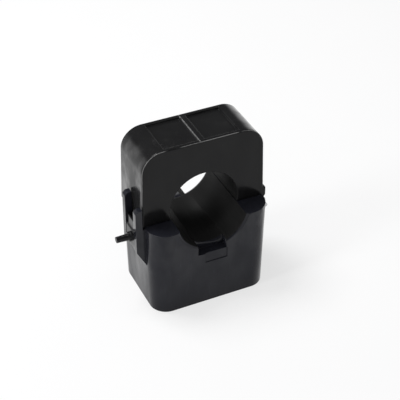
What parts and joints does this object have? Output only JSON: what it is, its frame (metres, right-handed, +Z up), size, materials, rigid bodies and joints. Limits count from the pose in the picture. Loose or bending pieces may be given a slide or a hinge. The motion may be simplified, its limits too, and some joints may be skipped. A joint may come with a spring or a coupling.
{
  "type": "split-core current transformer",
  "caption": "Black clip-on current transformer: a hinged upper half closes over the conductor and snaps shut, with a ferrite core and coil inside.",
  "frame": {"origin": "on the axis of the conductor opening, midway between the lower half's front and back faces", "axes": "+Y along the opening's axis away from the front, +Z up through the upper half, +X towards the hinge"},
  "size_m": [0.0515, 0.0352, 0.0593],
  "materials": {
    "housing": "polished black moulded nylon or PBT",
    "ferrite": "ground grey ferrite",
    "foam": "closed-cell foam",
    "former": "natural moulded nylon",
    "copper": "enamelled copper wire",
    "tape": "polyester insulating tape",
    "spring_steel": "bright stainless steel",
    "board": "solder-masked glass epoxy",
    "chip": "moulded epoxy package",
    "tinned": "tinned brass",
    "bush": "matt black rubber"
  },
  "bodies": {
    "lower": {"lower_case": "housing", "bottom_cover": "housing", "lower_core": "ferrite", "bobbin_top": "former", "bobbin_bottom": "former", "winding": "copper", "winding_tape": "tape", "core_spring": "spring_steel", "circuit_board": "board", "burden_resistor": "chip", "protection_diode": "chip", "lead_terminals": "tinned", "winding_leads": "copper", "lead_grommet": "bush", "snap_latch": "housing", "hinge_pin": "spring_steel"},
    "upper": {"upper_case": "housing", "upper_cover": "housing", "upper_core": "ferrite", "core_pad": "foam"}
  },
  "joints": [
    {"name": "hinge", "type": "hinge", "parent": "lower", "child": "upper", "pos_m": [0.02015, 0, -0.0039], "axis": [0, 1, 0], "range_deg": [0, 95], "deforming": ["snap_latch"]}
  ]
}
